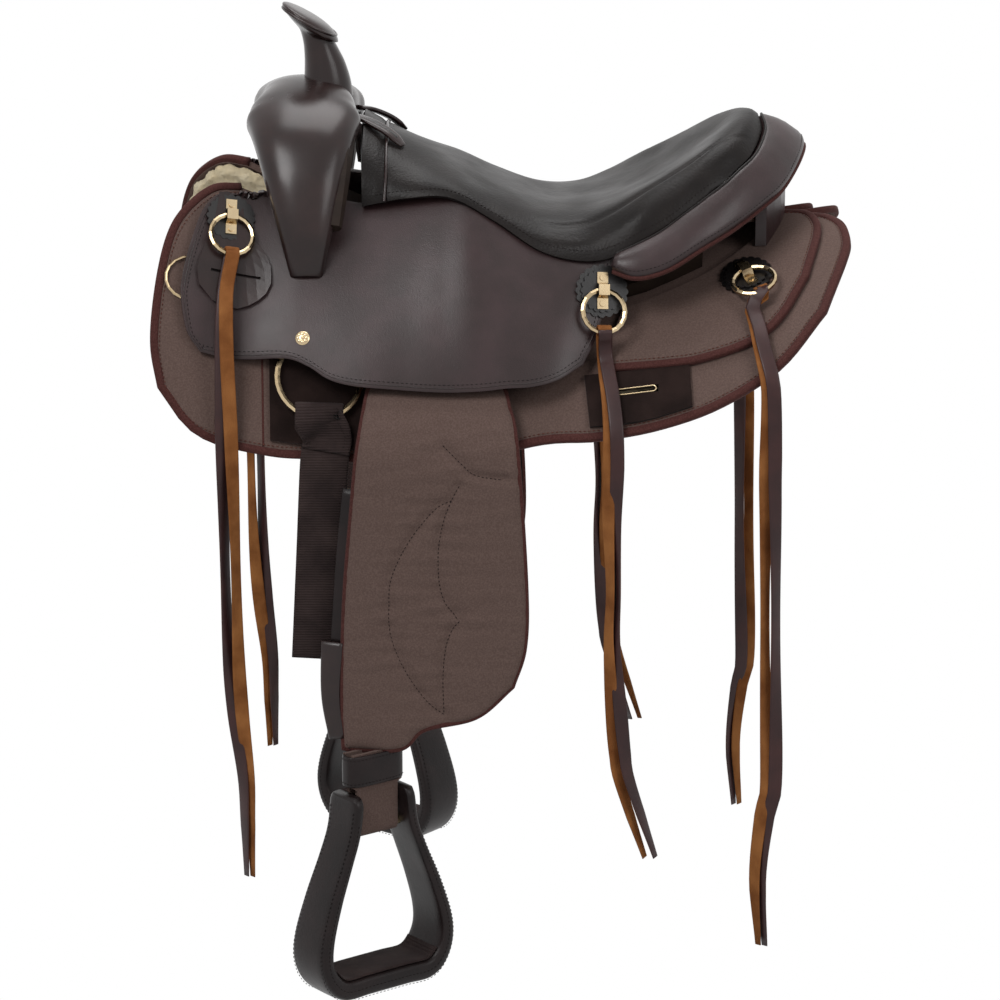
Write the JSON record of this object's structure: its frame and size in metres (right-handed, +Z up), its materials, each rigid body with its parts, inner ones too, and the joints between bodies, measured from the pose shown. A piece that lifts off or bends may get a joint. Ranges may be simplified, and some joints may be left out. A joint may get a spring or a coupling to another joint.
{
  "type": "trail saddle",
  "caption": "Horned trail saddle with padded seat, fabric skirts, fleece lining, leather strings on rings and hanging stirrups.",
  "frame": {"origin": "the ridge line of the horse's back under the middle of the saddle's length", "axes": "+X to the rear, +Z up, the rider's left side towards -Y"},
  "size_m": [0.6951, 0.6366, 0.9678],
  "materials": {
    "leather": "satin",
    "soft_leather": "satin",
    "suede": "matte",
    "cordura": "matte",
    "fleece": "matte",
    "brass": "polished",
    "webbing": "matte",
    "lace": "satin",
    "wood": "matte"
  },
  "bodies": {
    "saddle": {"breast_dee_left": "brass", "breast_dee_right": "brass", "cantle_roll": "leather", "clip_front_left": "brass", "clip_front_right": "brass", "clip_mid_left": "brass", "clip_mid_right": "brass", "clip_rear_left": "brass", "clip_rear_right": "brass", "fleece_left": "fleece", "fleece_right": "fleece", "fork_cover": "leather", "ground_seat": "leather", "horn": "leather", "jockey_left": "leather", "jockey_right": "leather", "keeper_flap_left": "leather", "keeper_flap_right": "leather", "rear_jockey_left": "cordura", "rear_jockey_right": "cordura", "rear_rigging_left": "suede", "rear_rigging_right": "suede", "rigging_plate_left": "suede", "rigging_plate_right": "suede", "rigging_ring_left": "brass", "rigging_ring_right": "brass", "rosette_mid_left": "leather", "rosette_mid_right": "leather", "rosette_rear_left": "leather", "rosette_rear_right": "leather", "seat": "soft_leather", "skirt_left": "cordura", "skirt_right": "cordura", "tree_bar_left": "wood", "tree_bar_right": "wood", "tree_cantle": "leather", "tree_fork": "wood"},
    "fender_body_left": {"fender_left": "cordura"},
    "neck_body_left": {"stirrup_leather_left": "soft_leather", "hobble_left": "leather"},
    "stirrup_body_left": {"stirrup_left": "leather"},
    "latigo_body": {"latigo": "webbing"},
    "ring_body_front_left": {"ring_front_left": "brass"},
    "string_body_front_left": {"string_front_left": "lace"},
    "ring_body_mid_left": {"ring_mid_left": "brass"},
    "string_body_mid_left": {"string_mid_left": "lace"},
    "ring_body_rear_left": {"ring_rear_left": "brass"},
    "string_body_rear_left": {"string_rear_left": "lace"},
    "fender_body_right": {"fender_right": "cordura"},
    "neck_body_right": {"stirrup_leather_right": "soft_leather", "hobble_right": "leather"},
    "stirrup_body_right": {"stirrup_right": "leather"},
    "off_billet_body": {"off_billet": "webbing"},
    "ring_body_front_right": {"ring_front_right": "brass"},
    "string_body_front_right": {"string_front_right": "lace"},
    "ring_body_mid_right": {"ring_mid_right": "brass"},
    "string_body_mid_right": {"string_mid_right": "lace"},
    "ring_body_rear_right": {"ring_rear_right": "brass"},
    "string_body_rear_right": {"string_rear_right": "lace"}
  },
  "joints": [
    {"name": "fender_swing_left", "type": "hinge", "parent": "saddle", "child": "fender_body_left", "pos_m": [-0.094, -0.12291, 0], "axis": [0, 1, 0], "range_deg": [-8, 15], "deforming": ["string_front_left", "string_mid_left", "string_rear_left"]},
    {"name": "stirrup_turn_left", "type": "hinge", "parent": "fender_body_left", "child": "neck_body_left", "pos_m": [-0.128, -0.245, -0.4546], "axis": [0, 0, 1], "range_deg": [-38, 50]},
    {"name": "stirrup_pivot_left", "type": "hinge", "parent": "neck_body_left", "child": "stirrup_body_left", "pos_m": [-0.128, -0.245, -0.5346], "axis": [0.788, 0.6157, 0], "range_deg": [-45, 45]},
    {"name": "latigo_swing", "type": "hinge", "parent": "saddle", "child": "latigo_body", "pos_m": [-0.1797, -0.18473, -0.08634], "axis": [-0.1159, 0.8444, -0.5229], "range_deg": [0, 20]},
    {"name": "ring_flip_front_left", "type": "hinge", "parent": "saddle", "child": "ring_body_front_left", "pos_m": [-0.26784, -0.12456, 0.066], "axis": [-0.9609, -0.231, 0.1523], "range_deg": [0, 80]},
    {"name": "string_hang_front_left", "type": "hinge", "parent": "ring_body_front_left", "child": "string_body_front_left", "pos_m": [-0.26705, -0.14925, 0.03353], "axis": [-0.9609, -0.231, 0.1523], "range_deg": [-80, 0], "deforming": ["string_front_left"]},
    {"name": "ring_flip_mid_left", "type": "hinge", "parent": "saddle", "child": "ring_body_mid_left", "pos_m": [0.10285, -0.16368, -0.00212], "axis": [-0.9791, -0.1918, 0.0671], "range_deg": [0, 80]},
    {"name": "string_hang_mid_left", "type": "hinge", "parent": "ring_body_mid_left", "child": "string_body_mid_left", "pos_m": [0.10343, -0.17975, -0.03962], "axis": [-0.9791, -0.1918, 0.0671], "range_deg": [-80, 0], "deforming": ["string_mid_left"]},
    {"name": "ring_flip_rear_left", "type": "hinge", "parent": "saddle", "child": "ring_body_rear_left", "pos_m": [0.24626, -0.11976, 0.01003], "axis": [-0.9127, -0.2432, -0.3285], "range_deg": [0, 60]},
    {"name": "string_hang_rear_left", "type": "hinge", "parent": "ring_body_rear_left", "child": "string_body_rear_left", "pos_m": [0.26077, -0.15521, -0.00403], "axis": [-0.9127, -0.2432, -0.3285], "range_deg": [-60, 0], "deforming": ["string_rear_left"]},
    {"name": "fender_swing_right", "type": "hinge", "parent": "saddle", "child": "fender_body_right", "pos_m": [-0.094, 0.12291, 0], "axis": [0, 1, 0], "range_deg": [-8, 15], "deforming": ["string_front_right", "string_mid_right", "string_rear_right"]},
    {"name": "stirrup_turn_right", "type": "hinge", "parent": "fender_body_right", "child": "neck_body_right", "pos_m": [-0.128, 0.245, -0.4546], "axis": [0, 0, -1], "range_deg": [-38, 50]},
    {"name": "stirrup_pivot_right", "type": "hinge", "parent": "neck_body_right", "child": "stirrup_body_right", "pos_m": [-0.128, 0.245, -0.5346], "axis": [-0.788, 0.6157, 0], "range_deg": [-45, 45]},
    {"name": "off_billet_swing", "type": "hinge", "parent": "saddle", "child": "off_billet_body", "pos_m": [-0.1797, 0.18473, -0.08634], "axis": [0.1159, 0.8444, 0.5229], "range_deg": [0, 20]},
    {"name": "ring_flip_front_right", "type": "hinge", "parent": "saddle", "child": "ring_body_front_right", "pos_m": [-0.26784, 0.12456, 0.066], "axis": [0.9609, -0.231, -0.1523], "range_deg": [0, 80]},
    {"name": "string_hang_front_right", "type": "hinge", "parent": "ring_body_front_right", "child": "string_body_front_right", "pos_m": [-0.26705, 0.14925, 0.03353], "axis": [0.9609, -0.231, -0.1523], "range_deg": [-80, 0], "deforming": ["string_front_right"]},
    {"name": "ring_flip_mid_right", "type": "hinge", "parent": "saddle", "child": "ring_body_mid_right", "pos_m": [0.10285, 0.16368, -0.00212], "axis": [0.9791, -0.1918, -0.0671], "range_deg": [0, 80]},
    {"name": "string_hang_mid_right", "type": "hinge", "parent": "ring_body_mid_right", "child": "string_body_mid_right", "pos_m": [0.10343, 0.17975, -0.03962], "axis": [0.9791, -0.1918, -0.0671], "range_deg": [-80, 0], "deforming": ["string_mid_right"]},
    {"name": "ring_flip_rear_right", "type": "hinge", "parent": "saddle", "child": "ring_body_rear_right", "pos_m": [0.24626, 0.11976, 0.01003], "axis": [0.9127, -0.2432, 0.3285], "range_deg": [0, 60]},
    {"name": "string_hang_rear_right", "type": "hinge", "parent": "ring_body_rear_right", "child": "string_body_rear_right", "pos_m": [0.26077, 0.15521, -0.00403], "axis": [0.9127, -0.2432, 0.3285], "range_deg": [-60, 0], "deforming": ["string_rear_right"]}
  ],
  "couplings": [
    {"joint": "string_hang_front_left", "follows": "ring_flip_front_left", "ratio": -1},
    {"joint": "string_hang_mid_left", "follows": "ring_flip_mid_left", "ratio": -1},
    {"joint": "string_hang_rear_left", "follows": "ring_flip_rear_left", "ratio": -1},
    {"joint": "string_hang_front_right", "follows": "ring_flip_front_right", "ratio": -1},
    {"joint": "string_hang_mid_right", "follows": "ring_flip_mid_right", "ratio": -1},
    {"joint": "string_hang_rear_right", "follows": "ring_flip_rear_right", "ratio": -1}
  ]
}
